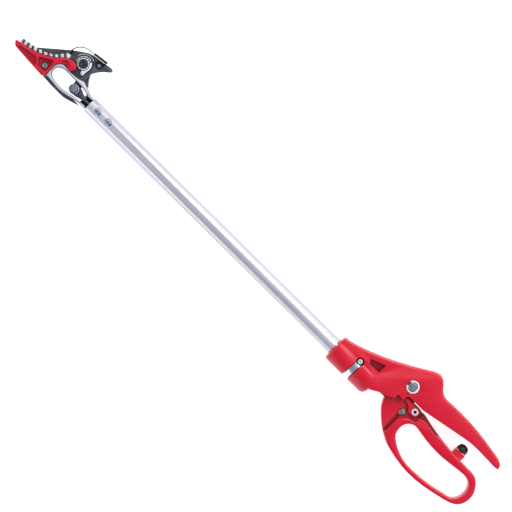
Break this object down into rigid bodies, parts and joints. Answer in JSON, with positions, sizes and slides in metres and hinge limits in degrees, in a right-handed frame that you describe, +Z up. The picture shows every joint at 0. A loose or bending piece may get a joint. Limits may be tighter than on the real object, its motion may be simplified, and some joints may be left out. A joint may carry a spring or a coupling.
{
  "type": "long-reach cut-and-hold pruner",
  "caption": "Lever-handled tool on a slim pole whose end blade, serrated gripper and jaw pad close together to cut a stem and keep hold of it.",
  "frame": {"origin": "centre of the flat head of the lever's pivot pin, the lowest face of the tool as it lies on its side", "axes": "+X along the pole from the handle to the head, +Y from the palm grip towards the finger loop, +Z up, parallel to every pivot"},
  "size_m": [0.6024, 0.087, 0.0281],
  "materials": {
    "red_plastic": "glossy moulded nylon",
    "rubber": "soft black rubber",
    "pole_aluminium": "satin anodised tube",
    "chrome": "bright chrome plate",
    "zinc": "bright zinc plated steel",
    "dark_steel": "dark gunmetal coated steel",
    "spring_steel": "polished spring steel"
  },
  "bodies": {
    "frame": {"handle_body": "red_plastic", "clamp_band": "chrome", "clamp_screw_front": "zinc", "clamp_screw_rear": "zinc", "pivot_pin": "zinc", "pivot_e_clip": "chrome", "return_spring": "spring_steel", "pole": "pole_aluminium", "head_screw_1": "zinc", "head_screw_2": "zinc", "head_bracket": "chrome", "counter_plate": "dark_steel", "plate_screw_1": "zinc", "plate_screw_2": "zinc", "jaw_pad": "red_plastic", "pad_screw": "zinc", "pad_nut": "zinc", "pivot_bolt": "chrome"},
    "lever": {"lever": "red_plastic", "bumper_cap": "rubber", "rod_pin": "zinc", "latch_screw": "zinc"},
    "latch": {"latch": "red_plastic"},
    "rod": {"pull_rod": "dark_steel", "rod_coupler": "zinc", "link_fork": "dark_steel", "link_bolt": "zinc", "link_nut": "zinc"},
    "blade": {"cutting_blade": "dark_steel", "pivot_nut": "chrome", "lock_plate": "chrome", "lock_screw": "zinc", "leaf_mount": "dark_steel", "leaf_rivet": "zinc", "leaf_spring": "spring_steel"},
    "gripper": {"gripper": "chrome"}
  },
  "joints": [
    {"name": "lever_pivot", "type": "hinge", "parent": "frame", "child": "lever", "pos_m": [0, 0, 0.014], "axis": [0, 0, 1], "range_deg": [-30, 0], "deforming": ["return_spring"]},
    {"name": "latch_pivot", "type": "hinge", "parent": "lever", "child": "latch", "pos_m": [-0.018, 0.0153, 0.0218], "axis": [0, 0, 1], "range_deg": [0, 20]},
    {"name": "rod_rear_pivot", "type": "hinge", "parent": "lever", "child": "rod", "pos_m": [-0.0098, 0.0231, 0.014], "axis": [0, 0, 1], "range_deg": [0, 30]},
    {"name": "blade_pivot", "type": "hinge", "parent": "frame", "child": "blade", "pos_m": [0.43, 0.0012, 0.014], "axis": [0, 0, 1], "range_deg": [-30, 0]},
    {"name": "gripper_pivot", "type": "hinge", "parent": "blade", "child": "gripper", "pos_m": [0.43, 0.0012, 0.0163], "axis": [0, 0, 1], "range_deg": [0, 6], "deforming": ["leaf_spring"]}
  ],
  "couplings": [
    {"joint": "rod_rear_pivot", "follows": "lever_pivot", "ratio": -1},
    {"joint": "blade_pivot", "follows": "lever_pivot", "ratio": 1},
    {"joint": "gripper_pivot", "follows": "lever_pivot", "ratio": -0.2}
  ]
}
